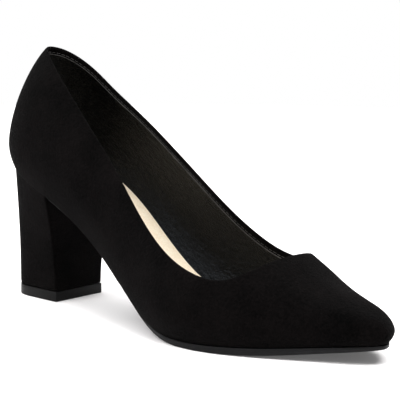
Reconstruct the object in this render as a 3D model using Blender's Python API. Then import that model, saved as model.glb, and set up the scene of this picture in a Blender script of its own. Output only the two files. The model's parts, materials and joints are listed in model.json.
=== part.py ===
"""A block heel pump for the right foot, European size 39, as an assembly of its maker's pieces.

The shoe runs along +X from the back of the counter to the toe, +Y is the inner side of the foot,
and the shoe stands on z = 0. Sizes and tables are in millimetres. The tables measure x from the
back of the counter, and the finished shoe is moved to stand over the origin at the end.
"""

from math import cos, pi, radians, sin

import bmesh
import bpy
import numpy as np
from mathutils import Matrix, Vector

MM = 0.001

# The last, which is the form that the shoe is made on
LENGTH = 252.0  # back of the counter to the tip of the toe
SEAT_BACK = 2.8  # the seat's edge lies this far in front of the counter's bulge
TOE_UNDERCUT = 2.6  # the sole's edge lies this far behind the tip of the toe
HEEL_ROUND = 30.0  # length of the rounded end at the heel
TOE_ROUND = 16.5  # length of the rounded end at the toe
CONE_BACK = 40.0  # where the last's top ridge starts
NOSE_LENGTH = 22.0  # the ridge ends this far behind the tip of the toe
THROAT = 193.5  # front of the opening, on the ridge
DOME = 1.55  # exponent of the arch that each section makes over the foot

# Thicknesses and clearances
WALL = 2.0  # suede, backing and lining together
GAP = 0.3  # clearance between pieces that meet
INSOLE_THICK = 4.5  # board and padding
SOCK_THICK = 1.0
TOP_PIECE_THICK = 5.5
FOOTBED_GAP = 0.45  # round the edge of the insole and the sock
SEAM = 0.01  # points closer than this are one point
EDGE_ANGLE = 40  # edges sharper than this, in degrees, are shaded sharp

# The heel. Its top follows the seat, its foot is a rounded block.
BREAST = 45.0  # front of the heel at the seat
BREAST_GAP = 0.4  # from the heel's breast to the end of the outsole
TIP_BACK = 6.2
TIP_FRONT = 43.5
TIP_ROUND = 16.0  # length of the rounded back of the foot
TIP_ROUNDNESS = 2.3  # exponent of that round: 2 is an ellipse, more is squarer
TIP_HALF_WIDTH = 17.0
HEEL_FLARE = 1.75  # how late the heel widens towards the seat: 1 would be straight sides

# Sides of the foot
OUTER = -1
INNER = 1

# How finely the pieces are divided
HEEL_RIBS = 7
MIDDLE_RIBS = 34
TOE_RIBS = 6
THROAT_RIBS = (0.0, 0.3, 1.0, 2.2, 4.0, 6.5, 10.0)  # behind the throat, where it rounds
LOWER_STEPS = 4  # from the feather edge to the girth
UPPER_STEPS = 11  # from the girth to the topline or the ridge
HEEL_STEPS = 10  # round each side of the heel
HEEL_LEVELS = 8

# Side view of what is underfoot: the underside of the upper, the outsole's thickness below it,
# and how far the outsole's edge stands out from the feather edge
GROUND_COLUMNS = ("x", "bottom", "sole_thick", "sole_out")
GROUND = (
    (0, 72.5, 1.7, -2.0),
    (25, 66.0, 1.7, -2.0),
    (50, 56.5, 1.7, -2.0),
    (75, 42.5, 1.8, -2.0),
    (100, 24.2, 1.8, -1.9),
    (125, 8.7, 2.1, -1.4),
    (145, 4.0, 2.9, 0.0),
    (160, 3.5, 3.4, 0.6),
    (175, 3.8, 3.6, 0.9),
    (200, 5.2, 3.5, 0.8),
    (225, 7.8, 2.9, 0.8),
    (252, 10.5, 1.9, 0.6),
)

# Sections of the last. Half widths are given at the feather edge, where the wall meets the
# sole, and at the girth, where the wall stands widest. girth_up is the height between them.
SECTION_COLUMNS = ("x", "feather_outer", "feather_inner", "girth_outer", "girth_inner", "girth_up")
SECTIONS = (
    (0, 22.5, 24.0, 26.5, 28.5, 12.0),
    (30, 25.5, 26.0, 29.5, 31.0, 17.5),
    (60, 26.0, 24.5, 31.5, 30.5, 22.0),
    (90, 27.0, 20.0, 33.0, 29.0, 20.0),
    (120, 33.5, 21.5, 39.5, 30.5, 17.0),
    (150, 40.5, 30.5, 46.0, 37.0, 13.0),
    (170, 40.0, 35.0, 44.0, 39.0, 11.0),
    (190, 34.0, 34.5, 37.0, 38.0, 9.5),
    (210, 25.0, 28.5, 27.0, 31.5, 8.0),
    (230, 15.0, 21.0, 17.0, 23.0, 6.5),
    (252, 6.0, 11.5, 7.0, 13.5, 5.0),
)

# Side view of the last's ridge. Behind the throat it is what the two walls lean towards.
RIDGE_COLUMNS = ("x", "height")
RIDGE = (
    (34, 147.0),
    (60, 134.0),
    (90, 113.0),
    (120, 91.5),
    (150, 67.8),
    (193.5, 45.0),
    (205, 37.3),
    (220, 31.2),
    (240, 23.6),
)

# Side view of the topline, the edge of the opening, on each side of the foot
TOPLINE_COLUMNS = ("x", "outer", "inner")
TOPLINE = (
    (0, 132.0, 132.0),
    (20, 135.5, 135.5),
    (45, 122.0, 116.5),
    (70, 101.5, 101.0),
    (95, 79.5, 86.0),
    (120, 57.8, 68.0),
    (145, 42.7, 46.8),
    (167.5, 35.2, 36.6),
    (181.5, 35.8, 38.8),
    (193.5, 45.0, 45.0),
)

# How far the sock stops short of the wall on the inner side of the foot
SOCK_COLUMNS = ("x", "short_inner")
SOCK = (
    (0, 0.3),
    (60, 0.3),
    (100, 2.3),
    (150, 6.0),
    (200, 4.0),
    (252, 1.0),
)


def smooth(columns, rows, name):
    """The natural cubic spline through one named column of a table, against its x."""
    x = np.array([row[0] for row in rows], float)
    y = np.array([row[columns.index(name)] for row in rows], float)
    span = np.diff(x)
    count = len(x)
    matrix = np.eye(count)
    slopes = np.zeros(count)
    for i in range(1, count - 1):
        matrix[i, i - 1 : i + 2] = span[i - 1], 2 * (span[i - 1] + span[i]), span[i]
        slopes[i] = 6 * ((y[i + 1] - y[i]) / span[i] - (y[i] - y[i - 1]) / span[i - 1])
    bend = np.linalg.solve(matrix, slopes)

    def at(place):
        place = min(max(place, x[0]), x[-1])
        i = min(max(int(np.searchsorted(x, place)) - 1, 0), count - 2)
        near = (x[i + 1] - place) / span[i]
        far = (place - x[i]) / span[i]
        curve = (near**3 - near) * bend[i] + (far**3 - far) * bend[i + 1]
        return float(near * y[i] + far * y[i + 1] + curve * span[i] ** 2 / 6)

    return at


bottom = smooth(GROUND_COLUMNS, GROUND, "bottom")
sole_thick = smooth(GROUND_COLUMNS, GROUND, "sole_thick")
sole_out = smooth(GROUND_COLUMNS, GROUND, "sole_out")
girth_up = smooth(SECTION_COLUMNS, SECTIONS, "girth_up")
ridge = smooth(RIDGE_COLUMNS, RIDGE, "height")
sock_short = smooth(SOCK_COLUMNS, SOCK, "short_inner")
feather = {
    OUTER: smooth(SECTION_COLUMNS, SECTIONS, "feather_outer"),
    INNER: smooth(SECTION_COLUMNS, SECTIONS, "feather_inner"),
}
girth = {
    OUTER: smooth(SECTION_COLUMNS, SECTIONS, "girth_outer"),
    INNER: smooth(SECTION_COLUMNS, SECTIONS, "girth_inner"),
}
topline = {
    OUTER: smooth(TOPLINE_COLUMNS, TOPLINE, "outer"),
    INNER: smooth(TOPLINE_COLUMNS, TOPLINE, "inner"),
}


def rounded(into, length, roundness=2.0):
    """Share of the full width at a distance into a rounded end of the given length."""
    if into >= length:
        return 1.0
    return (1 - (1 - into / length) ** roundness) ** (1 / roundness)


def end_share(place):
    """Share of the full width at a place along the last, with both of its ends rounded."""
    return rounded(place, HEEL_ROUND) * rounded(LENGTH - place, TOE_ROUND)


def wall_point(along, side, inset, height):
    """The point at a height above the last's underside, between the feather edge and the girth.

    along is the share of the length, and inset is the distance inside the shoe's surface.
    """
    seat_to_toe = LENGTH - TOE_UNDERCUT - SEAT_BACK
    place = LENGTH * along
    low_x = SEAT_BACK + inset + (seat_to_toe - 2 * inset) * along
    wide_x = inset + (LENGTH - 2 * inset) * along
    low_y = (feather[side](place) - inset) * end_share(place)
    wide_y = (girth[side](place) - inset) * end_share(place)
    rise = bottom(wide_x) + girth_up(place) - bottom(low_x)
    share = min(height / rise, 1.0)
    swell = 1 - (1 - share) ** 2
    x = low_x + (wide_x - low_x) * swell
    y = low_y + (wide_y - low_y) * swell
    return np.array([x, side * y, bottom(low_x) + rise * share])


def arch_point(along, side, inset, turn):
    """The point at a turn round the arch: 0 at the girth, 1 on the ridge.

    What lies in front of the ridge point also falls with the ridge, so that the nose is smooth.
    """
    widest = wall_point(along, side, inset, LENGTH)
    ridge_x = CONE_BACK + (LENGTH - NOSE_LENGTH - CONE_BACK) * along
    ridge_z = ridge(ridge_x) - inset
    climb = sin(turn * pi / 2)
    spread = max(0.0, 1 - climb**DOME) ** 0.5
    x = ridge_x + (widest[0] - ridge_x) * spread
    fall = (ridge(ridge_x + 1) - ridge(ridge_x - 1)) / 2 * max(0.0, x - ridge_x) * climb**4
    return np.array([x, widest[1] * spread, widest[2] + climb * (ridge_z - widest[2]) + fall])


def topline_turn(along, side):
    """The turn at which a rib meets the topline, or 1 where it runs on to the ridge."""
    ridge_x = CONE_BACK + (LENGTH - NOSE_LENGTH - CONE_BACK) * along
    if ridge_x > THROAT - GAP / 2:
        return 1.0
    low, high = 0.0, 1.0
    while (high - low) * LENGTH > SEAM / 1000:
        turn = (low + high) / 2
        x, _, z = arch_point(along, side, 0.0, turn)
        if z < topline[side](x):
            low = turn
        else:
            high = turn
    return low


def rib_places():
    """Shares of the length at which ribs stand, closer together round the ends and the throat."""
    places = [HEEL_ROUND * (1 - cos(pi / 2 * i / HEEL_RIBS)) for i in range(HEEL_RIBS)]
    places += list(np.linspace(HEEL_ROUND, LENGTH - TOE_ROUND, MIDDLE_RIBS))
    places += [LENGTH - TOE_ROUND * (1 - cos(pi / 2 * i / TOE_RIBS)) for i in range(TOE_RIBS)]
    ridge_span = LENGTH - NOSE_LENGTH - CONE_BACK
    throat = [LENGTH * (THROAT - back - CONE_BACK) / ridge_span for back in THROAT_RIBS]
    spacing = (LENGTH - TOE_ROUND - HEEL_ROUND) / (MIDDLE_RIBS - 1)
    clear = [p for p in places if min(abs(p - t) for t in throat) > spacing / 4]
    return [place / LENGTH for place in sorted(clear + throat)]


def rib(along, side, inset, turn):
    """Points up one side of the shoe, from the feather edge to the given turn of the arch."""
    girth_height = wall_point(along, side, inset, LENGTH)[2] - wall_point(along, side, inset, 0)[2]
    lower = [
        wall_point(along, side, inset, girth_height * k / LOWER_STEPS) for k in range(LOWER_STEPS)
    ]
    upper_part = [
        arch_point(along, side, inset, turn * k / UPPER_STEPS) for k in range(UPPER_STEPS + 1)
    ]
    return lower + upper_part


def skin(mesh, rows):
    """Lays a face between each two neighbouring points of each two neighbouring rows."""
    grid = [[mesh.verts.new(Vector(point) * MM) for point in row] for row in rows]
    for row, following in zip(grid, grid[1:]):
        for a, b, c, d in zip(row, row[1:], following[1:], following):
            mesh.faces.new((a, b, c, d))
    return grid


def closed_tube(mesh, rings, cap_start, cap_end):
    """Skins rings of points that each close on themselves, with a flat cap where asked."""
    grid = skin(mesh, [list(ring) + [ring[0]] for ring in rings])
    if cap_start:
        mesh.faces.new(grid[0][:-1])
    if cap_end:
        mesh.faces.new(grid[-1][:-1])


def make_part(name, mesh, colour, roughness):
    """Joins the seams, turns the faces outwards, and makes the named object and its material."""
    bmesh.ops.remove_doubles(mesh, verts=mesh.verts, dist=SEAM * MM)
    bmesh.ops.recalc_face_normals(mesh, faces=mesh.faces)
    data = bpy.data.meshes.new(name)
    mesh.to_mesh(data)
    mesh.free()
    data.shade_smooth()
    data.set_sharp_from_angle(angle=radians(EDGE_ANGLE))
    material = bpy.data.materials.new(name)
    material.use_nodes = True
    shader = material.node_tree.nodes["Principled BSDF"]
    shader.inputs["Base Color"].default_value = (*colour, 1.0)
    shader.inputs["Roughness"].default_value = roughness
    shader.inputs["Metallic"].default_value = 0.0
    data.materials.append(material)
    part = bpy.data.objects.new(name, data)
    bpy.context.scene.collection.objects.link(part)
    return part


def make_upper():
    """One hollow wall over the last, open at the collar and underneath."""
    mesh = bmesh.new()
    places = rib_places()
    back_turn = topline_turn(0.0, OUTER)
    for side in (OUTER, INNER):
        turns = [back_turn] + [topline_turn(along, side) for along in places[1:]]
        outside = [rib(along, side, 0.0, turn) for along, turn in zip(places, turns)]
        inside = [rib(along, side, WALL, turn) for along, turn in zip(places, turns)]
        skin(mesh, outside)
        skin(mesh, inside)
        skin(mesh, [[points[0] for points in wall] for wall in (outside, inside)])
        rim = turns.index(1.0) + 1
        skin(mesh, [[points[-1] for points in wall[:rim]] for wall in (outside, inside)])
    return make_part("upper", mesh, (0.009, 0.008, 0.008), 0.95)


def make_outsole():
    """The outsole from the heel's breast to the toe, flat where the ball stands on the floor."""
    mesh = bmesh.new()
    start = (BREAST + BREAST_GAP - SEAT_BACK) / (LENGTH - TOE_UNDERCUT - SEAT_BACK)
    clear_of_start = start + GAP / LENGTH
    rings = []
    for along in [start] + [along for along in rib_places() if along > clear_of_start]:
        out = sole_out(LENGTH * along)
        edges = {}
        for side in (OUTER, INNER):
            x, y, z = wall_point(along, side, 0.0, 0.0)
            edges[side] = (x, y + side * out * end_share(LENGTH * along), z - GAP)
        x, _, top = edges[OUTER]
        under = max(0.0, top - sole_thick(x))
        outer, inner = edges[OUTER][1], edges[INNER][1]
        rings.append([(x, outer, top), (x, outer, under), (x, inner, under), (x, inner, top)])
    closed_tube(mesh, rings, True, False)
    return make_part("outsole", mesh, (0.02, 0.02, 0.022), 0.42)


def heel_steps():
    """Shares of the way round one side of the heel, closer together at the back."""
    return [1 - cos(pi / 2 * k / HEEL_STEPS) for k in range(HEEL_STEPS + 1)]


def tip_outline():
    """The foot of the heel from its outer front corner, round the back, to its inner one."""
    sides = {OUTER: [], INNER: []}
    for share in heel_steps():
        x = TIP_BACK + (TIP_FRONT - TIP_BACK) * share
        half = TIP_HALF_WIDTH * rounded(x - TIP_BACK, TIP_ROUND, TIP_ROUNDNESS)
        for side in (OUTER, INNER):
            sides[side].append((x, side * half))
    return sides[OUTER][::-1] + sides[INNER][1:]


def seat_outline():
    """The top of the heel under the seat, in the same order as the outline of its foot."""
    sides = {OUTER: [], INNER: []}
    for share in heel_steps():
        along = share * (BREAST - SEAT_BACK) / (LENGTH - TOE_UNDERCUT - SEAT_BACK)
        for side in (OUTER, INNER):
            x, y, z = wall_point(along, side, 0.0, 0.0)
            sides[side].append((x, y, z - GAP))
    return sides[OUTER][::-1] + sides[INNER][1:]


def make_heel():
    """The covered block: its foot is lofted up to the seat with a late flare, and its top follows
    the seat."""
    mesh = bmesh.new()
    foot = np.array([(x, y, TOP_PIECE_THICK + GAP) for x, y in tip_outline()])
    seat = np.array(seat_outline())
    rings = []
    for level in range(HEEL_LEVELS + 1):
        climb = level / HEEL_LEVELS
        share = np.array([climb**HEEL_FLARE, climb**HEEL_FLARE, climb])
        rings.append(foot + (seat - foot) * share)
    closed_tube(mesh, rings, True, False)
    skin(mesh, list(zip(seat[: HEEL_STEPS + 1], seat[: HEEL_STEPS - 1 : -1])))
    return make_part("heel", mesh, (0.009, 0.008, 0.008), 0.95)


def make_top_piece():
    """The hard-wearing block under the heel, flat on the floor."""
    mesh = bmesh.new()
    rings = [[(x, y, z) for x, y in tip_outline()] for z in (0.0, TOP_PIECE_THICK)]
    closed_tube(mesh, rings, True, True)
    return make_part("top_piece", mesh, (0.02, 0.02, 0.022), 0.45)


def make_footbed(name, low, high, short_inner, colour, roughness):
    """A flat layer inside the upper, between two heights over the last's underside."""
    mesh = bmesh.new()
    rings = []
    for along in rib_places():
        short = short_inner(LENGTH * along) * end_share(LENGTH * along)
        pull = np.array([0.0, short, 0.0])
        ring = [
            wall_point(along, OUTER, WALL + FOOTBED_GAP, high),
            wall_point(along, OUTER, WALL + FOOTBED_GAP, low),
            wall_point(along, INNER, WALL + FOOTBED_GAP, low) - pull,
            wall_point(along, INNER, WALL + FOOTBED_GAP, high) - pull,
        ]
        rings.append(ring)
    closed_tube(mesh, rings, False, False)
    return make_part(name, mesh, colour, roughness)


def make_insole():
    """The padded black board that fills the bottom of the upper."""
    return make_footbed("insole", 0.0, INSOLE_THICK, lambda place: 0.0, (0.012, 0.011, 0.011), 0.8)


def make_sock():
    """The pale sock that covers the insole, short of the wall on the inner side."""
    low = INSOLE_THICK + GAP
    return make_footbed("sock", low, low + SOCK_THICK, sock_short, (0.75, 0.6, 0.42), 0.6)


def stand_over_origin(parts):
    """Moves the shoe so that the middle of the bottom of its box is the origin."""
    corners = np.array([vertex.co for part in parts for vertex in part.data.vertices])
    middle = (corners.min(axis=0) + corners.max(axis=0)) / 2
    for part in parts:
        part.data.transform(Matrix.Translation((-middle[0], -middle[1], -corners[:, 2].min())))


for old in list(bpy.data.objects):
    bpy.data.objects.remove(old, do_unlink=True)

stand_over_origin(
    [make_upper(), make_outsole(), make_heel(), make_top_piece(), make_insole(), make_sock()]
)
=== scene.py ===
# %% [markdown]
# # A black suede pump with a block heel
#
# This lesson dresses the solid model of one right shoe. The solids are loaded as a fixed frame,
# and every piece below is laid on them: the suede with its folded topline, the lining, the board
# and the sock, the covered heel, the thin sole and the block under the heel.
#
# The frame is in metres: +X runs to the toe, +Y to the inner side of the foot, and +Z is up.

# %% Load the fixed frame
import json
from math import cos, radians, sin

import bpy
from mathutils import Matrix, Vector

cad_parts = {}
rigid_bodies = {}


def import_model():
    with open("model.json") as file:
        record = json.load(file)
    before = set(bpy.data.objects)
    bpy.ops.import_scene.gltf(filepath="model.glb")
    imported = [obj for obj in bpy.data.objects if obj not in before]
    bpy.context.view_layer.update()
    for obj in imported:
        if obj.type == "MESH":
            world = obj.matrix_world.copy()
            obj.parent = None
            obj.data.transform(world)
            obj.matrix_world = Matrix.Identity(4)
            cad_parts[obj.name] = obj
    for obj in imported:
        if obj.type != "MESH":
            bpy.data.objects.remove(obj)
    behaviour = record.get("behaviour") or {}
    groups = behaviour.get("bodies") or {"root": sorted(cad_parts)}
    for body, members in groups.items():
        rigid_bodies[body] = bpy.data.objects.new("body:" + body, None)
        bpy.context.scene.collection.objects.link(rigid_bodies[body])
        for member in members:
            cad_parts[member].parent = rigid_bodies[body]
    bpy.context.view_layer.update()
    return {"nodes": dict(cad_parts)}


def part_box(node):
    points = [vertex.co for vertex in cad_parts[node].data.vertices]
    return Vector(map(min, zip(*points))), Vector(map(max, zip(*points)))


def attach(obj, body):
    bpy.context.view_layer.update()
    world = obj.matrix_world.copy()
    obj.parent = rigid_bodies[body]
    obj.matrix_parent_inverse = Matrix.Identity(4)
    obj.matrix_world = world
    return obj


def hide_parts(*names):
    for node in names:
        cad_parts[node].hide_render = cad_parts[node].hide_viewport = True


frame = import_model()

MM = 0.001
for name in sorted(frame["nodes"]):
    low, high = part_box(name)
    size = [round(value / MM, 1) for value in high - low]
    print("solid", name, "is", size, "mm")

# %% [markdown]
# ## Camera
#
# The shoe is seen from in front of its outer side and a little above. A camera can be placed by
# eye, or by fitting it to the outlines, as was done here. It is written as one direction, one
# distance and one point that it aims at, because these can be read and changed by hand. A long
# lens keeps the perspective weak.

# %% Stand the camera
CAMERA_AZIMUTH = radians(42.65)
CAMERA_HEIGHT = radians(9.547)
CAMERA_ROLL = radians(0.455)
CAMERA_DISTANCE = 0.8775
AIM_CENTRE = Vector((0.0, 0.0035, 0.055))
AIM_RIGHT = 4.59 * MM
AIM_UP = 8.453 * MM
FOCAL_IN_PIXELS = 1732.4
IMAGE_PIXELS = 400
SENSOR = 36.0

back = Vector(
    (
        sin(CAMERA_AZIMUTH) * cos(CAMERA_HEIGHT),
        -cos(CAMERA_AZIMUTH) * cos(CAMERA_HEIGHT),
        sin(CAMERA_HEIGHT),
    )
)
level = Vector((cos(CAMERA_AZIMUTH), sin(CAMERA_AZIMUTH), 0.0))
upright = back.cross(level)
aim = AIM_CENTRE + level * AIM_RIGHT + upright * AIM_UP
right = level * cos(CAMERA_ROLL) + upright * sin(CAMERA_ROLL)
up = upright * cos(CAMERA_ROLL) - level * sin(CAMERA_ROLL)

camera_data = bpy.data.cameras.new("camera")
camera_data.sensor_width = SENSOR
camera_data.lens = FOCAL_IN_PIXELS / IMAGE_PIXELS * SENSOR
camera = bpy.data.objects.new("camera", camera_data)
camera.matrix_world = Matrix.Translation(aim + back * CAMERA_DISTANCE) @ Matrix(
    (right, up, back)
).transposed().to_4x4()
scene = bpy.context.scene
scene.collection.objects.link(camera)
scene.camera = camera
print("camera lens", round(camera_data.lens, 1), "mm")

# %% [markdown]
# ## Floor
#
# The shoe stands on white studio paper without an edge. A curved backdrop could be modelled, but
# a pale disc under a white world looks the same and is seen from every side. Its faint glow keeps
# the far paper white. The plain colour transform keeps white paper white, where a film transform
# would turn it grey.

# %% Lay the floor
FLOOR_RADIUS = 1.0
FLOOR_CORNERS = 96
FLOOR_COLOUR = (0.92, 0.905, 0.905, 1)
FLOOR_GLOW_COLOUR = (1, 0.99, 0.99, 1)
FLOOR_GLOW = 0.1

scene.view_settings.view_transform = "Standard"
bpy.ops.mesh.primitive_circle_add(
    vertices=FLOOR_CORNERS, radius=FLOOR_RADIUS, fill_type="NGON", location=(0, 0, 0)
)
floor = bpy.context.object
floor.name = "floor"
floor_paint = bpy.data.materials.new("pale floor")
floor_paint.use_nodes = True
floor_shader = floor_paint.node_tree.nodes["Principled BSDF"]
floor_shader.inputs["Base Color"].default_value = FLOOR_COLOUR
floor_shader.inputs["Roughness"].default_value = 0.9
floor_shader.inputs["Specular IOR Level"].default_value = 0.1
floor_shader.inputs["Emission Color"].default_value = FLOOR_GLOW_COLOUR
floor_shader.inputs["Emission Strength"].default_value = FLOOR_GLOW
floor.data.materials.append(floor_paint)
print("floor", FLOOR_RADIUS * 2, "m across")

# %% [markdown]
# ## World
#
# The world gives an even white. It shines less on the shoe than it shows behind it, so that the
# lights can still model the form. A Light Path node tells the two apart.

# %% Fill the world with white
SKY_LIGHT = 0.36
SKY_SEEN = 1.0

world = bpy.data.worlds.new("white studio")
world.use_nodes = True
sky = world.node_tree.nodes["Background"]
sky.inputs["Color"].default_value = (1, 1, 1, 1)
seen = world.node_tree.nodes.new("ShaderNodeLightPath")
strength = world.node_tree.nodes.new("ShaderNodeMapRange")
strength.inputs["To Min"].default_value = SKY_LIGHT
strength.inputs["To Max"].default_value = SKY_SEEN
world.node_tree.links.new(seen.outputs["Is Camera Ray"], strength.inputs["Value"])
world.node_tree.links.new(strength.outputs["Result"], sky.inputs["Strength"])
scene.world = world
print("world lights the shoe with", SKY_LIGHT)

# %% [markdown]
# ## Lights
#
# Black suede needs much light before its nap shows. A broad softbox overhead gives the soft
# shadow. A smaller one stands on the near side and lifts the outer wall, and one in front reaches
# the sock and the foot of the lining through the opening. Area lights are used, because a real
# softbox is one, and a point light would draw hard edges.

# %% Hang the lights
SHOE_MIDDLE = Vector((0.0, 0.0, 0.05))
LIGHTS = (
    # name, place in metres, side in metres, watts
    ("top_softbox", (-0.1, 0.1, 1.3), 2.4, 58.0),
    ("front_softbox", (0.75, -0.25, 1.2), 0.6, 9.0),
    ("side_softbox", (-0.36, -1.1, 0.8), 0.5, 7.0),
)


def add_softbox(name, place, side, watts):
    """A square area light at a place, facing the middle of the shoe."""
    data = bpy.data.lights.new(name, "AREA")
    data.shape = "SQUARE"
    data.size = side
    data.energy = watts
    light = bpy.data.objects.new(name, data)
    light.location = place
    light.rotation_euler = (Vector(place) - SHOE_MIDDLE).to_track_quat("Z", "Y").to_euler()
    scene.collection.objects.link(light)


for name, place, side, watts in LIGHTS:
    add_softbox(name, place, side, watts)
    print(name, watts, "watts")

# %% [markdown]
# ## Helpers for working by hand in code
#
# Every tool acts on what is selected, so each piece starts from a clean selection. A piece could
# be modelled from a primitive, but a copy of a solid already has the true curves of the last, and
# it then fits exactly where the frame says. Its loose triangles are joined first, or a bevel
# would open every seam between them.

# %% Select and copy
MERGE_DISTANCE = 0.002 * MM
QUAD_ANGLE = radians(90)


def only(*objects):
    """Selects these objects alone and makes the first of them active."""
    if bpy.context.object and bpy.context.object.mode != "OBJECT":
        bpy.ops.object.mode_set(mode="OBJECT")
    bpy.ops.object.select_all(action="DESELECT")
    for one in objects:
        one.select_set(True)
    bpy.context.view_layer.objects.active = objects[0]


def copy_of_solid(node, name):
    """A copy of a CAD node with its loose triangles joined into a clean quad mesh."""
    source = frame["nodes"][node]
    piece = bpy.data.objects.new(name, source.data.copy())
    piece.data.name = name
    piece.data.materials.clear()
    scene.collection.objects.link(piece)
    only(piece)
    bpy.ops.mesh.customdata_custom_splitnormals_clear()
    bpy.ops.object.mode_set(mode="EDIT")
    bpy.ops.mesh.select_all(action="SELECT")
    bpy.ops.mesh.remove_doubles(threshold=MERGE_DISTANCE)
    bpy.ops.mesh.tris_convert_to_quads(face_threshold=QUAD_ANGLE, shape_threshold=QUAD_ANGLE)
    bpy.ops.mesh.select_all(action="DESELECT")
    bpy.ops.object.mode_set(mode="OBJECT")
    return piece


def pick_faces(piece, test):
    """Selects the faces for which test(face) is true, and nothing else."""
    only(piece)
    bpy.ops.object.mode_set(mode="EDIT")
    bpy.ops.mesh.select_mode(type="FACE")
    bpy.ops.mesh.select_all(action="DESELECT")
    bpy.ops.object.mode_set(mode="OBJECT")
    for face in piece.data.polygons:
        face.select = test(face)
    chosen = sum(face.select for face in piece.data.polygons)
    bpy.ops.object.mode_set(mode="EDIT")
    return chosen


print("helpers for selecting ready")

# %% Finish a piece
SHARP_EDGE = radians(40)
SMOOTH_BELOW = radians(50)


def finish_modifier(piece, kind, **settings):
    """Adds one modifier to the piece and applies it."""
    only(piece)
    modifier = piece.modifiers.new(kind.lower(), kind)
    for key, value in settings.items():
        setattr(modifier, key, value)
    bpy.ops.object.modifier_apply(modifier=modifier.name)


def shade_between_edges(piece, angle=SMOOTH_BELOW):
    """Shades the piece smooth, except over edges that are sharper than the angle."""
    only(piece)
    bpy.ops.object.shade_smooth_by_angle(angle=angle)


def round_edges(piece, width, segments=2):
    """Bevels every sharp edge of the piece and shades it."""
    finish_modifier(
        piece, "BEVEL", width=width, segments=segments, limit_method="ANGLE", angle_limit=SHARP_EDGE
    )
    shade_between_edges(piece)


def hand_over(piece, material, slot, *nodes):
    """Gives the piece its material, hangs it on the root body, hides the solids that it replaces and
    prints its box.
    """
    piece.data.materials.clear()
    piece.data.materials.append(material)
    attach(piece, "root")
    if nodes:
        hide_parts(*nodes)
    low = [min(v.co[i] for v in piece.data.vertices) / MM for i in range(3)]
    high = [max(v.co[i] for v in piece.data.vertices) / MM for i in range(3)]
    triangles = sum(len(face.vertices) - 2 for face in piece.data.polygons)
    print(piece.name, [round(v, 1) for v in low], [round(v, 1) for v in high], triangles)


print("helpers for finishing ready")

# %% [markdown]
# ## Groups of shader nodes
#
# Suede, lining leather, sock, thread and rubber all need some grain. Each material could have its
# own copy of the nodes, but then a change would have to be made in every one, so a grain is built
# once as a node group. A group gives out only masks and a bumped normal, and each material mixes
# its own colours with them. All patterns are made in object space, in metres, so that they keep
# their real size on every piece.

# %% Start and close a node group
GRAIN_OUTPUTS = (
    ("Mask", "NodeSocketFloat"),
    ("Clouds", "NodeSocketFloat"),
    ("Normal", "NodeSocketVector"),
)


def start_group(name, values, outputs=GRAIN_OUTPUTS):
    """A shader group with named number inputs and named outputs, fed by object coordinates."""
    group = bpy.data.node_groups.new(name, "ShaderNodeTree")
    for label, value in values:
        socket = group.interface.new_socket(label, in_out="INPUT", socket_type="NodeSocketFloat")
        socket.default_value = value
    for label, kind in outputs:
        group.interface.new_socket(label, in_out="OUTPUT", socket_type=kind)
    inside = group.nodes.new("NodeGroupInput")
    outside = group.nodes.new("NodeGroupOutput")
    place = group.nodes.new("ShaderNodeTexCoord")
    return group, inside, outside, place


def noise_node(group, place, scale_socket, detail, roughness):
    """A noise texture in object space, with its scale taken from a group input."""
    noise = group.nodes.new("ShaderNodeTexNoise")
    noise.inputs["Detail"].default_value = detail
    noise.inputs["Roughness"].default_value = roughness
    group.links.new(place.outputs["Object"], noise.inputs["Vector"])
    group.links.new(scale_socket, noise.inputs["Scale"])
    return noise


def close_group(group, inside, outside, mask, clouds):
    """Sends the mask, the clouds and a normal bumped by the mask out of the group."""
    bump = group.nodes.new("ShaderNodeBump")
    group.links.new(inside.outputs["Depth"], bump.inputs["Distance"])
    group.links.new(mask, bump.inputs["Height"])
    group.links.new(mask, outside.inputs["Mask"])
    group.links.new(clouds, outside.inputs["Clouds"])
    group.links.new(bump.outputs["Normal"], outside.inputs["Normal"])
    print("group", group.name)
    return group


# %% [markdown]
# ### Nap
#
# Suede is leather with its fibres raised. Close up it is a felt of fine hairs, and from further
# away it shows soft lighter and darker patches where a hand has brushed it. The hairs could be
# grown as particles, but on so short a pile they would be millions, and an exported mesh loses
# them. Two noises at those two sizes look the same, and the fine one also lifts the surface.

# %% The nap of suede
def make_nap():
    """Fine raised fibres and broad brushed patches."""
    values = (
        ("Fibres per metre", 1800.0),
        ("Patches per metre", 38.0),
        ("Depth", 0.35 * MM),
    )
    group, inside, outside, place = start_group("suede nap", values)
    fibres = noise_node(group, place, inside.outputs["Fibres per metre"], detail=4.0, roughness=0.7)
    patches = noise_node(
        group, place, inside.outputs["Patches per metre"], detail=3.0, roughness=0.55
    )
    return close_group(group, inside, outside, fibres.outputs["Fac"], patches.outputs["Fac"])


nap = make_nap()

# %% [markdown]
# ### Pebble grain
#
# Lining and sock are smooth coated leathers, printed with a fine pebble. A pebble is under a
# millimetre across, too small to be worth any geometry. Each cell of a Voronoi texture is one
# pebble, and its distance from the cell's middle, taken smoothly, is the height.

# %% The pebble of coated leather
CELL_SMOOTHNESS = 0.35


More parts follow.
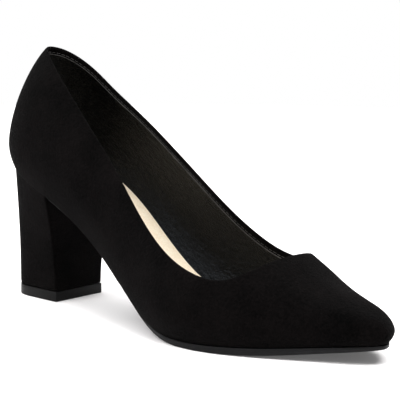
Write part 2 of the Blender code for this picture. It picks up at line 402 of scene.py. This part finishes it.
def make_pebble():
    """Small rounded cells with a soft variation over them."""
    values = (
        ("Pebbles per metre", 1300.0),
        ("Patches per metre", 60.0),
        ("Depth", 0.2 * MM),
    )
    group, inside, outside, place = start_group("pebble grain", values)
    cells = group.nodes.new("ShaderNodeTexVoronoi")
    cells.feature = "SMOOTH_F1"
    cells.inputs["Smoothness"].default_value = CELL_SMOOTHNESS
    group.links.new(place.outputs["Object"], cells.inputs["Vector"])
    group.links.new(inside.outputs["Pebbles per metre"], cells.inputs["Scale"])
    patches = noise_node(
        group, place, inside.outputs["Patches per metre"], detail=4.0, roughness=0.6
    )
    dome = group.nodes.new("ShaderNodeMath")
    dome.operation = "SUBTRACT"
    dome.inputs[0].default_value = 1.0
    group.links.new(cells.outputs["Distance"], dome.inputs[1])
    return close_group(group, inside, outside, dome.outputs["Value"], patches.outputs["Fac"])


pebble = make_pebble()

# %% [markdown]
# ### Tread
#
# The sole and the block under the heel are moulded with fine slanting ribs, so that a smooth
# floor is safe. Ribs this fine are bump and not geometry. One wave texture makes them, and the
# surface's own direction keeps them off the sides.

# %% The ribs of a moulded tread
RIBS_START = -0.7
RIBS_FULL = -0.95


def make_tread():
    """The height of slanting ribs, only where the surface looks down."""
    values = (("Ribs per metre", 140.0),)
    outputs = (("Height", "NodeSocketFloat"),)
    group, inside, outside, place = start_group("moulded tread", values, outputs)
    ribs = group.nodes.new("ShaderNodeTexWave")
    ribs.bands_direction = "DIAGONAL"
    surface = group.nodes.new("ShaderNodeNewGeometry")
    parts = group.nodes.new("ShaderNodeSeparateXYZ")
    below = group.nodes.new("ShaderNodeMapRange")
    below.inputs["From Min"].default_value = RIBS_START
    below.inputs["From Max"].default_value = RIBS_FULL
    height = group.nodes.new("ShaderNodeMath")
    height.operation = "MULTIPLY"
    group.links.new(place.outputs["Object"], ribs.inputs["Vector"])
    group.links.new(inside.outputs["Ribs per metre"], ribs.inputs["Scale"])
    group.links.new(surface.outputs["Normal"], parts.inputs["Vector"])
    group.links.new(parts.outputs["Z"], below.inputs["Value"])
    group.links.new(ribs.outputs["Fac"], height.inputs[0])
    group.links.new(below.outputs["Result"], height.inputs[1])
    group.links.new(height.outputs["Value"], outside.inputs["Height"])
    print("group", group.name)
    return group


tread = make_tread()

# %% [markdown]
# ## Finishes
#
# Each finish is one Principled shader. Values that are the same everywhere are set on the shader
# itself, and the group's mask and clouds vary the colour and the roughness about them, because
# no real surface has one flat colour. A Mix node has sockets for every kind of data under the
# same names, so its sockets are picked by number.

# %% Make one finish
NOISE_LOW = 0.36
NOISE_HIGH = 0.66
MIX_NUMBER_A = 2
MIX_NUMBER_B = 3
MIX_NUMBER_OUT = 0
MIX_COLOUR_A = 6
MIX_COLOUR_B = 7
MIX_COLOUR_OUT = 2


def make_finish(name, group, grain, colours, roughness, fine_share, fixed):
    """A material whose colour and roughness vary between two values with a group's outputs."""
    material = bpy.data.materials.new(name)
    material.use_nodes = True
    nodes = material.node_tree.nodes
    links = material.node_tree.links
    shader = nodes["Principled BSDF"]
    for label, value in fixed.items():
        shader.inputs[label].default_value = value
    pattern = nodes.new("ShaderNodeGroup")
    pattern.node_tree = group
    for label, value in grain.items():
        pattern.inputs[label].default_value = value
    blend = nodes.new("ShaderNodeMix")
    blend.data_type = "FLOAT"
    blend.inputs["Factor"].default_value = fine_share
    links.new(pattern.outputs["Clouds"], blend.inputs[MIX_NUMBER_A])
    links.new(pattern.outputs["Mask"], blend.inputs[MIX_NUMBER_B])
    spread = nodes.new("ShaderNodeMapRange")
    spread.inputs["From Min"].default_value = NOISE_LOW
    spread.inputs["From Max"].default_value = NOISE_HIGH
    links.new(blend.outputs[MIX_NUMBER_OUT], spread.inputs["Value"])
    tint = nodes.new("ShaderNodeMix")
    tint.data_type = "RGBA"
    tint.inputs[MIX_COLOUR_A].default_value = (*colours[0], 1)
    tint.inputs[MIX_COLOUR_B].default_value = (*colours[1], 1)
    links.new(spread.outputs["Result"], tint.inputs["Factor"])
    links.new(tint.outputs[MIX_COLOUR_OUT], shader.inputs["Base Color"])
    polish = nodes.new("ShaderNodeMapRange")
    polish.inputs["To Min"].default_value = roughness[0]
    polish.inputs["To Max"].default_value = roughness[1]
    links.new(spread.outputs["Result"], polish.inputs["Value"])
    links.new(polish.outputs["Result"], shader.inputs["Roughness"])
    links.new(pattern.outputs["Normal"], shader.inputs["Normal"])
    return material


def add_relief(material, height, depth):
    """Bumps the finish with a height, on top of the relief that it already has."""
    nodes = material.node_tree.nodes
    links = material.node_tree.links
    shader = nodes["Principled BSDF"]
    bump = nodes.new("ShaderNodeBump")
    bump.inputs["Distance"].default_value = depth
    links.new(height, bump.inputs["Height"])
    links.new(shader.inputs["Normal"].links[0].from_socket, bump.inputs["Normal"])
    links.new(bump.outputs["Normal"], shader.inputs["Normal"])


print("helpers for finishes ready")

# %% [markdown]
# ### Black suede
#
# The suede covers the upper and the heel. It is almost black and has no gloss, only a faint sheen
# at a glancing angle. The two halves of the upper are sewn together down the back, which leaves a
# narrow groove. Cutting the mesh there would add faces for a line under 1.5 mm wide, so the
# groove is pressed in by bump, where the distance from the shoe's middle plane is small.

# %% The suede and its back seam
BACK_SEAM_Y = 3.49 * MM
BACK_SEAM_HALF = 0.7 * MM
BACK_SEAM_FRONT = -0.1
BACK_SEAM_DEPTH = 0.6 * MM


def math_node(nodes, operation, value=None):
    """A Math node, with its second number set if one is given."""
    node = nodes.new("ShaderNodeMath")
    node.operation = operation
    if value is not None:
        node.inputs[1].default_value = value
    return node


def add_back_seam(material):
    """Presses a narrow groove into the finish along the middle of the back."""
    nodes = material.node_tree.nodes
    links = material.node_tree.links
    place = nodes.new("ShaderNodeTexCoord")
    parts = nodes.new("ShaderNodeSeparateXYZ")
    aside = math_node(nodes, "SUBTRACT", BACK_SEAM_Y)
    away = math_node(nodes, "ABSOLUTE")
    groove = nodes.new("ShaderNodeMapRange")
    groove.interpolation_type = "SMOOTHSTEP"
    groove.inputs["From Max"].default_value = BACK_SEAM_HALF
    in_front = math_node(nodes, "GREATER_THAN", BACK_SEAM_FRONT)
    height = math_node(nodes, "MAXIMUM")
    links.new(place.outputs["Object"], parts.inputs["Vector"])
    links.new(parts.outputs["Y"], aside.inputs[0])
    links.new(aside.outputs["Value"], away.inputs[0])
    links.new(away.outputs["Value"], groove.inputs["Value"])
    links.new(parts.outputs["X"], in_front.inputs[0])
    links.new(groove.outputs["Result"], height.inputs[0])
    links.new(in_front.outputs["Value"], height.inputs[1])
    add_relief(material, height.outputs["Value"], BACK_SEAM_DEPTH)


suede = make_finish(
    "black suede",
    nap,
    grain={"Fibres per metre": 800.0, "Patches per metre": 50.0, "Depth": 1.1 * MM},
    colours=((0.0001, 0.0001, 0.0001), (0.0033, 0.0025, 0.0025)),
    roughness=(1.0, 0.9),
    fine_share=0.6,
    fixed={"Specular IOR Level": 0.03, "Sheen Weight": 0.008, "Sheen Roughness": 0.4},
)
add_back_seam(suede)
print("finish", suede.name)

# %% [markdown]
# ### Black lining leather
#
# The lining is a thin smooth leather, which creases along the foot when the shoe is lasted. The
# creases are a noise stretched in that direction, and they break the gloss into short streaks.
# Its tint is slightly cool, against the warm light that the pale sock throws on it.

# %% The lining and its creases
CREASES_PER_METRE = 430.0
CREASE_STRETCH = (2.8, 1.0, 1.0)
CREASE_SLANT = radians(28)
CREASE_DEPTH = 1.3 * MM


def add_creases(material):
    """Bumps the material with a noise that is long in the direction of the foot."""
    nodes = material.node_tree.nodes
    links = material.node_tree.links
    place = nodes.new("ShaderNodeTexCoord")
    turn = nodes.new("ShaderNodeMapping")
    turn.vector_type = "TEXTURE"
    turn.inputs["Rotation"].default_value = (0.0, CREASE_SLANT, 0.0)
    turn.inputs["Scale"].default_value = CREASE_STRETCH
    noise = nodes.new("ShaderNodeTexNoise")
    noise.inputs["Scale"].default_value = CREASES_PER_METRE
    noise.inputs["Detail"].default_value = 5.0
    noise.inputs["Roughness"].default_value = 0.65
    links.new(place.outputs["Object"], turn.inputs["Vector"])
    links.new(turn.outputs["Vector"], noise.inputs["Vector"])
    add_relief(material, noise.outputs["Fac"], CREASE_DEPTH)


lining_leather = make_finish(
    "black lining leather",
    pebble,
    grain={"Pebbles per metre": 1200.0, "Patches per metre": 70.0, "Depth": 0.16 * MM},
    colours=((0.0003, 0.0003, 0.0004), (0.001, 0.001, 0.0012)),
    roughness=(0.36, 0.23),
    fine_share=0.5,
    fixed={"Specular IOR Level": 0.14, "Specular Tint": (0.86, 0.92, 1.0, 1.0)},
)
add_creases(lining_leather)
print("finish", lining_leather.name)

# %% [markdown]
# ### Board, sock and thread
#
# The board has a dull black covering, the sock is a cream leather with a fine pebble, and the
# thread is a slightly glossy black. They differ from each other only in grain, colour and gloss,
# so each is one call with its own values.

# %% The board, the sock and the thread
board_cloth = make_finish(
    "black board",
    pebble,
    grain={"Pebbles per metre": 2200.0, "Patches per metre": 90.0, "Depth": 0.08 * MM},
    colours=((0.001, 0.001, 0.001), (0.003, 0.0028, 0.0028)),
    roughness=(0.95, 0.85),
    fine_share=0.5,
    fixed={"Specular IOR Level": 0.04},
)
sock_leather = make_finish(
    "cream sock leather",
    pebble,
    grain={"Pebbles per metre": 1100.0, "Patches per metre": 160.0, "Depth": 0.28 * MM},
    colours=((0.86, 0.72, 0.53), (0.93, 0.82, 0.65)),
    roughness=(0.7, 0.5),
    fine_share=0.5,
    fixed={"Specular IOR Level": 0.4},
)
thread = make_finish(
    "black thread",
    nap,
    grain={"Fibres per metre": 5000.0, "Patches per metre": 200.0, "Depth": 0.05 * MM},
    colours=((0.012, 0.011, 0.011), (0.05, 0.047, 0.045)),
    roughness=(0.7, 0.5),
    fine_share=0.5,
    fixed={"Specular IOR Level": 0.5},
)
print("finishes", [material.name for material in (board_cloth, sock_leather, thread)])

# %% [markdown]
# ### Rubber
#
# The sole and the block under the heel are black rubber with a satin surface and the tread below.
# Both have the same tread group, with finer ribs on the small block.

# %% The rubber of the sole and of the heel's block
TREAD_DEPTH = 0.5 * MM


def add_tread(material, ribs_per_metre):
    """Places the tread group in the material and bumps the finish with it."""
    ribs = material.node_tree.nodes.new("ShaderNodeGroup")
    ribs.node_tree = tread
    ribs.inputs["Ribs per metre"].default_value = ribs_per_metre
    add_relief(material, ribs.outputs["Height"], TREAD_DEPTH)


sole_rubber = make_finish(
    "sole rubber",
    pebble,
    grain={"Pebbles per metre": 2600.0, "Patches per metre": 150.0, "Depth": 0.06 * MM},
    colours=((0.0018, 0.0018, 0.002), (0.0045, 0.0045, 0.005)),
    roughness=(0.55, 0.4),
    fine_share=0.4,
    fixed={"Specular IOR Level": 0.13},
)
tread_rubber = make_finish(
    "heel block rubber",
    pebble,
    grain={"Pebbles per metre": 2200.0, "Patches per metre": 90.0, "Depth": 0.08 * MM},
    colours=((0.0018, 0.0018, 0.0019), (0.0048, 0.0045, 0.0046)),
    roughness=(0.6, 0.45),
    fine_share=0.4,
    fixed={"Specular IOR Level": 0.13},
)
add_tread(sole_rubber, ribs_per_metre=130.0)
add_tread(tread_rubber, ribs_per_metre=160.0)
print("finishes", [material.name for material in (sole_rubber, tread_rubber)])

# %% [markdown]
# ## The suede upper
#
# The upper is one skin over the last, folded in at the topline. It could be draped from a flat
# sheet by a cloth simulation, but leather pulled over a last is stiff and keeps its shape, so the
# solid's own surface is used. The solid has square edges at the topline, so the copy's rim is
# rounded with a bevel, and then the whole skin is subdivided twice so that no facet shows.
# Marking the sharp edges as seams first makes it easy to pick the inner wall, the rim and the
# outer wall apart.

# %% Mark the walls of the upper
RIM_ANGLE = radians(50)
BACK_OF_COLLAR = -0.115
HIGH_ON_COUNTER = 0.095
FACING = 0.7

upper = copy_of_solid("upper", "suede_upper")
only(upper)
bpy.ops.object.mode_set(mode="EDIT")
bpy.ops.mesh.select_mode(type="EDGE")
bpy.ops.mesh.edges_select_sharp(sharpness=RIM_ANGLE)
bpy.ops.mesh.mark_seam(clear=False)
bpy.ops.mesh.select_all(action="DESELECT")
bpy.ops.object.mode_set(mode="OBJECT")
print("edges marked", sum(edge.use_seam for edge in upper.data.edges))

# %% Take a copy of the inner wall for the lining
def spread_to_seams():
    """Grows the selected faces over their whole wall, up to the marked edges."""
    bpy.ops.mesh.select_linked(delimit={"SEAM"})


def on_inner_wall(face):
    """True for faces high inside the counter, which look forwards."""
    high = face.center.z > HIGH_ON_COUNTER and face.center.x < BACK_OF_COLLAR
    return high and face.normal.x > FACING


pick_faces(upper, on_inner_wall)
spread_to_seams()
bpy.ops.mesh.duplicate()
bpy.ops.mesh.separate(type="SELECTED")
bpy.ops.object.mode_set(mode="OBJECT")
lining = [one for one in bpy.context.selected_objects if one != upper][0]
lining.name = "lining"
print("inner wall has", len(lining.data.polygons), "faces")

# %% Round the folded rim and smooth the skin
FOLD_ROUND = 0.85 * MM
RIM_RAISE = 0.5 * MM


def on_rim(face):
    """True for faces on the very top of the back, which look up."""
    return face.normal.z > FACING and face.center.z > HIGH_ON_COUNTER


print("rim faces picked", pick_faces(upper, on_rim))
spread_to_seams()
bpy.ops.transform.shrink_fatten(value=RIM_RAISE)
bpy.ops.mesh.region_to_loop()
bpy.ops.object.mode_set(mode="OBJECT")
rim_edges = {edge.index for edge in upper.data.edges if edge.select}
for edge in upper.data.edges:
    edge.select = edge.use_seam and edge.index not in rim_edges
bpy.ops.object.mode_set(mode="EDIT")
bpy.ops.transform.edge_crease(value=1.0)
bpy.ops.object.mode_set(mode="OBJECT")
for edge in upper.data.edges:
    edge.select = edge.index in rim_edges
bpy.ops.object.mode_set(mode="EDIT")
bpy.ops.mesh.bevel(offset=FOLD_ROUND, segments=3, profile=0.5, clamp_overlap=False)
bpy.ops.object.mode_set(mode="OBJECT")
finish_modifier(upper, "SUBSURF", levels=2, render_levels=2)
bpy.ops.object.shade_smooth()
hand_over(upper, suede, "suede", "upper")

# %% [markdown]
# ## The lining
#
# Inside, the suede is turned over by a few millimetres, and the smooth lining starts below that
# fold. The lining is the copy of the inner wall, given a thickness towards the foot. Its upper
# edge has to stay at one distance from the topline all the way round. A flat cut can't do that on
# a topline that curves in every direction, so the lining is cut by a round rod of that radius,
# laid along the topline.

# %% Walk round the topline
def edge_loops(mesh):
    """The open edges of a sheet as ordered loops of points."""
    faces_on = {}
    for face in mesh.polygons:
        for key in face.edge_keys:
            faces_on[key] = faces_on.get(key, 0) + 1
    beside = {}
    for (a, b), count in faces_on.items():
        if count == 1:
            beside.setdefault(a, []).append(b)
            beside.setdefault(b, []).append(a)
    loops = []
    while beside:
        start = min(beside)
        loop = [start]
        ahead = beside.pop(start)[0]
        while ahead != start:
            loop.append(ahead)
            onward = beside.pop(ahead)
            ahead = onward[0] if onward[0] != loop[-2] else onward[1]
        loops.append([mesh.vertices[i].co.copy() for i in loop])
    return loops


def length_round(loop):
    """The length of a closed loop of points."""
    return sum((b - a).length for a, b in zip(loop, loop[1:] + loop[:1]))


# The sheet is open at the topline and at the board, and the topline is the higher one.
loops = edge_loops(lining.data)
topline = max(loops, key=lambda loop: max(point.z for point in loop))
print("topline", len(topline), "points,", round(length_round(topline) / MM), "mm round")

# %% Make tubes along a closed line
def closed_tube(name, points, radius, resolution):
    """A round tube along a closed loop of points, as a mesh."""
    path = bpy.data.curves.new(name, "CURVE")
    path.dimensions = "3D"
    path.bevel_depth = radius
    path.bevel_resolution = resolution
    spline = path.splines.new("POLY")
    spline.points.add(len(points) - 1)
    for point, place in zip(spline.points, points):
        point.co = (*place, 1)
    spline.use_cyclic_u = True
    tube = bpy.data.objects.new(name, path)
    scene.collection.objects.link(tube)
    only(tube)
    bpy.ops.object.convert(target="MESH")
    return bpy.context.object


print("helper for tubes ready")

# %% Make the lining from the inner wall
LINING_THICK = 0.5 * MM
FOLD_WIDTH = 3.3 * MM

finish_modifier(lining, "SUBSURF", levels=1, render_levels=1)
finish_modifier(lining, "SOLIDIFY", thickness=LINING_THICK, offset=1.0, use_even_offset=False)
rod = closed_tube("fold_rod", topline, FOLD_WIDTH, resolution=4)
finish_modifier(lining, "BOOLEAN", object=rod, operation="DIFFERENCE", solver="EXACT")
bpy.data.objects.remove(rod, do_unlink=True)
shade_between_edges(lining, SHARP_EDGE)
hand_over(lining, lining_leather, "insole")

# %% [markdown]
# ## Edge line and stitches
#
# The lining's edge is trimmed close to a row of fine stitches, and it catches the light as a thin
# line round the opening. Both follow the topline at a fixed distance down the wall. They could be
# bump, but a line this close to the rim is seen against the light, so it is geometry. One helper
# finds such a line: it steps down the wall from each point of the topline and drops onto it.

# %% Find lines that follow the topline
def line_below(loop, surface, distance, lift):
    """Points at a distance below each point of the topline, lifted off the surface."""
    points = []
    for before, here, after in zip(loop[-1:] + loop[:-1], loop, loop[1:] + loop[:1]):
        along = (after - before).normalized()
        _, _, normal, _ = surface.closest_point_on_mesh(here)
        down = normal.cross(along).normalized()
        if down.z > 0 and abs(down.z) > abs(down.x):
            down = -down
        _, place, normal, _ = surface.closest_point_on_mesh(here + down * distance)
        points.append(place + normal * lift)
    return points


def even_points(loop, spacing):
    """Points and directions at an even spacing round a closed loop."""
    around = length_round(loop)
    count = round(around / spacing)
    step = around / count
    placed = []
    walked = 0.0
    for a, b in zip(loop, loop[1:] + loop[:1]):
        length = (b - a).length
        while len(placed) * step < walked + length and len(placed) < count:
            share = (len(placed) * step - walked) / length
            placed.append((a.lerp(b, share), (b - a).normalized()))
        walked += length
    return placed


print("helpers for lines ready")

# %% The lining's trimmed edge
EDGE_LINE_THICK = 0.5 * MM
EDGE_LINE_LIFT = 0.35 * MM

bpy.context.view_layer.update()
edge_points = line_below(topline, upper, FOLD_WIDTH, EDGE_LINE_LIFT)
lining_edge = closed_tube("lining_edge", edge_points, EDGE_LINE_THICK / 2, resolution=1)
bpy.ops.object.shade_smooth()
hand_over(lining_edge, thread, "insole")

# %% One stitch, copied along the edge
STITCH_LENGTH = 2.0 * MM
STITCH_SPACING = 2.7 * MM
STITCH_THICK = 0.42 * MM
STITCH_ABOVE = 1.2 * MM
STITCH_LIFT = 0.05 * MM

bpy.ops.mesh.primitive_cylinder_add(
    vertices=6, radius=STITCH_THICK / 2, depth=STITCH_LENGTH, end_fill_type="NGON"
)
stitch = bpy.context.object
stitch.name = "stitch"
finish_modifier(stitch, "BEVEL", width=STITCH_THICK / 5, segments=1)
seam_points = line_below(topline, upper, FOLD_WIDTH - STITCH_ABOVE, STITCH_LIFT)
stitches = []
for place, along in even_points(seam_points, STITCH_SPACING):
    one = stitch.copy()
    one.data = stitch.data.copy()
    turned = along.to_track_quat("Z", "Y").to_matrix().to_4x4()
    one.matrix_world = Matrix.Translation(place) @ turned
    scene.collection.objects.link(one)
    stitches.append(one)
bpy.data.objects.remove(stitch, do_unlink=True)
print("stitches", len(stitches))

# %% Join the stitches
only(*stitches)
bpy.ops.object.join()
lining_stitches = bpy.context.object
lining_stitches.name = "lining_stitches"
bpy.ops.object.transform_apply(location=True, rotation=True, scale=True)
bpy.ops.object.shade_smooth()
hand_over(lining_stitches, thread, "insole")

# %% [markdown]
# ## Board
#
# The board closes the bottom of the shoe inside, and only a dark strip of it shows beside the
# sock. Its solid has the right outline already, so the copy only needs softer edges. A bevel
# limited by angle finds them all at once.

# %% Round the board
BOARD_EDGE = 0.5 * MM
board = copy_of_solid("insole", "insole_board")
round_edges(board, BOARD_EDGE)
hand_over(board, board_cloth, "insole", "insole")

# %% [markdown]
# ## Sock
#
# The sock is the pale layer that the foot stands on. It is a thin leather with a cut edge, glued
# to the board all over, so it needs no cloth simulation, only a small soft edge in three steps.

# %% Round the sock
SOCK_EDGE = 0.4 * MM
sock = copy_of_solid("sock", "sock_lining")
round_edges(sock, SOCK_EDGE, segments=3)
hand_over(sock, sock_leather, "sock", "sock")

# %% [markdown]
# ## The heel
#
# The heel is a hollow block of plastic covered with the same suede, glued round it. The cover
# rounds the block's corners, but it runs up tight against the upper. So the seat is raised a
# little first, and then every sharp edge except those of the seat is bevelled. Bevelling them all
# would leave a dark line between heel and upper.

# %% Raise the seat of the heel's cover
COVER_REACH = 0.35 * MM
SEAT_MARGIN = 1.5 * MM
SEAT_FACING = 0.5

heel = copy_of_solid("heel", "heel_cover")
seat_faces = pick_faces(heel, lambda face: face.normal.z > SEAT_FACING)
bpy.ops.transform.translate(value=(0, 0, COVER_REACH))
bpy.ops.object.mode_set(mode="OBJECT")
corners = heel.data.vertices
seat_heights = [corners[i].co.z for face in heel.data.polygons if face.select for i in face.vertices]
seat_low = min(seat_heights) - SEAT_MARGIN
print("seat faces raised", seat_faces)

# %% Round the other edges of the cover
COVER_EDGE = 1.1 * MM

only(heel)
bpy.ops.object.mode_set(mode="EDIT")
bpy.ops.mesh.select_mode(type="EDGE")
bpy.ops.mesh.select_all(action="DESELECT")
bpy.ops.mesh.edges_select_sharp(sharpness=SHARP_EDGE)
bpy.ops.object.mode_set(mode="OBJECT")
corners = heel.data.vertices
for edge in heel.data.edges:
    on_seat = all(corners[i].co.z > seat_low for i in edge.vertices)
    edge.select = edge.select and not on_seat
bpy.ops.object.mode_set(mode="EDIT")
bpy.ops.mesh.bevel(offset=COVER_EDGE, segments=3, profile=0.5, clamp_overlap=False)
bpy.ops.object.mode_set(mode="OBJECT")
shade_between_edges(heel)
hand_over(heel, suede, "suede", "heel")

# %% [markdown]
# ## The block under the heel
#
# A thin block of hard rubber is nailed under the heel and takes the wear. It is cut with a crisp
# edge, so its bevel is half as wide as the cover's.

# %% Cut the block under the heel
BLOCK_EDGE = 0.5 * MM
top_piece = copy_of_solid("top_piece", "heel_tread")
round_edges(top_piece, BLOCK_EDGE)
hand_over(top_piece, tread_rubber, "top_piece", "top_piece")

# %% [markdown]
# ## The sole
#
# The sole is a thin sheet that runs from the heel's breast to the toe and shows as a fine dark
# line round the shoe. Its arch and toe spring are in the solid, so it is copied too, and its edge
# is rounded a little, as sanding leaves it.

# %% Round the sole
SOLE_EDGE = 0.5 * MM
sole = copy_of_solid("outsole", "thin_sole")
round_edges(sole, SOLE_EDGE)
hand_over(sole, sole_rubber, "outsole", "outsole")

# %% [markdown]
# ## Sizes and the end
#
# The dressed shoe has to keep the size of the solids. The size of each solid is printed at the
# start, and the box of each piece as it is handed over, so that the two can be compared.

# %% Update the scene and finish
bpy.context.view_layer.update()
